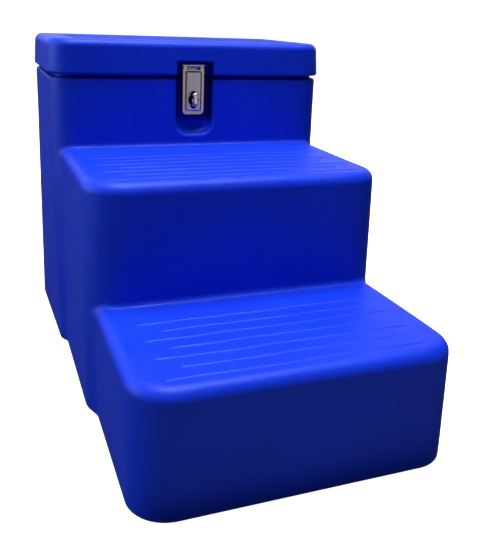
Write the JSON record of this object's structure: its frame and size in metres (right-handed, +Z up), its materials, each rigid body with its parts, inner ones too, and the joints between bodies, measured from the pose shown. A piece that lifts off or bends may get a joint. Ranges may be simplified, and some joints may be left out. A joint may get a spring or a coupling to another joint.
{
  "type": "mounting block",
  "caption": "Stepped horse mounting block of blue moulded plastic with a storage box under its hinged top step, closed by a steel hasp and turning staple.",
  "frame": {"origin": "centre of the bounding box's underside, on the floor", "axes": "+X to the right seen from the front, +Y from the lowest step to the back wall, +Z up"},
  "size_m": [0.5632, 0.9194, 0.6],
  "materials": {
    "blue_polyethylene": "satin, finely grained",
    "plug_plastic": "satin",
    "stainless_steel": "brushed",
    "staple_chrome": "polished",
    "insert_brass": "satin"
  },
  "bodies": {
    "block": {"body_shell": "blue_polyethylene", "hinge_body_leaf_left": "stainless_steel", "hinge_body_leaf_right": "stainless_steel", "hinge_pin_left": "stainless_steel", "hinge_pin_right": "stainless_steel", "body_hinge_screws": "stainless_steel", "body_hinge_washers": "stainless_steel", "body_hinge_nuts": "stainless_steel", "staple_plate": "stainless_steel", "staple_plate_screws": "stainless_steel", "staple_plate_washers": "stainless_steel", "staple_plate_nuts": "stainless_steel", "staple_thrust_washer": "stainless_steel"},
    "lid": {"lid_shell": "blue_polyethylene", "lid_vent_plug": "plug_plastic", "hinge_lid_leaf_left": "stainless_steel", "hinge_lid_leaf_right": "stainless_steel", "lid_hinge_screws": "stainless_steel", "lid_hinge_inserts": "insert_brass", "hasp_fixed_leaf": "stainless_steel", "hasp_pin": "stainless_steel", "hasp_leaf_screws": "stainless_steel", "hasp_leaf_washers": "stainless_steel", "hasp_leaf_nuts": "stainless_steel"},
    "hasp": {"hasp_leaf": "stainless_steel"},
    "swivel": {"turning_staple": "staple_chrome", "staple_clip": "stainless_steel"}
  },
  "joints": [
    {"name": "lid_hinge", "type": "hinge", "parent": "block", "child": "lid", "pos_m": [0, 0.45525, 0.53025], "axis": [-1, 0, 0], "range_deg": [0, 180]},
    {"name": "hasp_swing", "type": "hinge", "parent": "lid", "child": "hasp", "pos_m": [0, 0.14235, 0.5515], "axis": [-1, 0, 0], "range_deg": [0, 90]},
    {"name": "staple_turn", "type": "hinge", "parent": "block", "child": "swivel", "pos_m": [0, 0.12425, 0.485], "axis": [0, -1, 0], "continuous": true}
  ]
}
